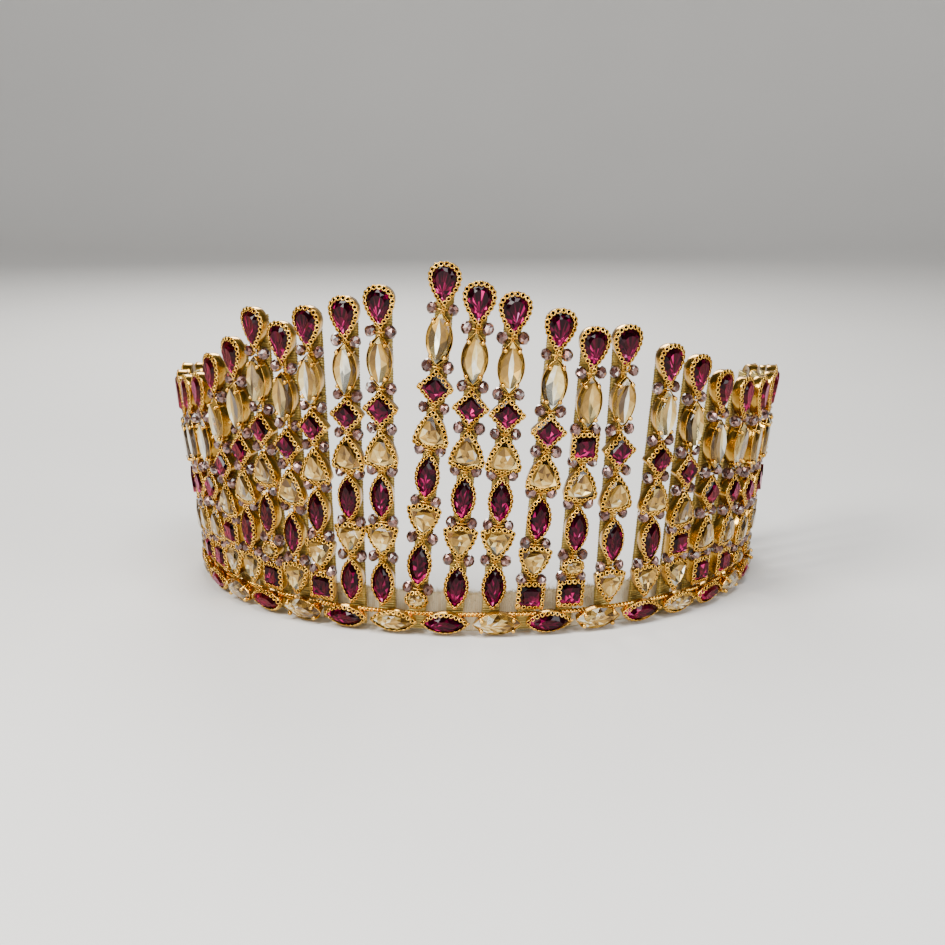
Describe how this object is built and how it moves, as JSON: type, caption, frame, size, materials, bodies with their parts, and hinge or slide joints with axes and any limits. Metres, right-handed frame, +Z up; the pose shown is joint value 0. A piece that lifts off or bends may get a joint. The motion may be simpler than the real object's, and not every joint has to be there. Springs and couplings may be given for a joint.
{
  "type": "crown",
  "caption": "Open flared crown: tall spires of ruby and champagne stones in gold cups on wound strips, rising from a thread-wound hoop edged with sideways stones.",
  "frame": {"origin": "bottom centre of the crown's bounding box, in the plane the hoop stands on", "axes": "+Z up through the open top, -Y towards the front of the crown, +X to the viewer's right"},
  "size_m": [0.1918, 0.1388, 0.1098],
  "materials": {
    "cream_thread": "matt cream thread wound upright round the hoop",
    "gold_thread": "dull gold thread wound closely round each strip",
    "ruby_in_gold": "foiled cut stones, ruby and champagne, in lace-edged gold cups, with mauve faceted beads",
    "row_in_gold": "foiled cut navettes, ruby and champagne by turns, in gold cups on a gold edging cord"
  },
  "bodies": {
    "root": {"band": "cream_thread", "base_row": "row_in_gold", "strip_01": "gold_thread", "stack_01": "ruby_in_gold", "strip_02": "gold_thread", "stack_02": "ruby_in_gold", "strip_03": "gold_thread", "stack_03": "ruby_in_gold", "strip_04": "gold_thread", "stack_04": "ruby_in_gold", "strip_05": "gold_thread", "stack_05": "ruby_in_gold", "strip_06": "gold_thread", "stack_06": "ruby_in_gold", "strip_07": "gold_thread", "stack_07": "ruby_in_gold", "strip_08": "gold_thread", "stack_08": "ruby_in_gold", "strip_09": "gold_thread", "stack_09": "ruby_in_gold", "strip_10": "gold_thread", "stack_10": "ruby_in_gold", "strip_11": "gold_thread", "stack_11": "ruby_in_gold", "strip_12": "gold_thread", "stack_12": "ruby_in_gold", "strip_13": "gold_thread", "stack_13": "ruby_in_gold", "strip_14": "gold_thread", "stack_14": "ruby_in_gold", "strip_15": "gold_thread", "stack_15": "ruby_in_gold", "strip_16": "gold_thread", "stack_16": "ruby_in_gold", "strip_17": "gold_thread", "stack_17": "ruby_in_gold", "strip_18": "gold_thread", "stack_18": "ruby_in_gold", "strip_19": "gold_thread", "stack_19": "ruby_in_gold", "strip_20": "gold_thread", "stack_20": "ruby_in_gold", "strip_21": "gold_thread", "stack_21": "ruby_in_gold", "strip_22": "gold_thread", "stack_22": "ruby_in_gold", "strip_23": "gold_thread", "stack_23": "ruby_in_gold", "strip_24": "gold_thread", "stack_24": "ruby_in_gold", "strip_25": "gold_thread", "stack_25": "ruby_in_gold", "strip_26": "gold_thread", "stack_26": "ruby_in_gold", "strip_27": "gold_thread", "stack_27": "ruby_in_gold", "strip_28": "gold_thread", "stack_28": "ruby_in_gold", "strip_29": "gold_thread", "stack_29": "ruby_in_gold"}
  },
  "joints": []
}
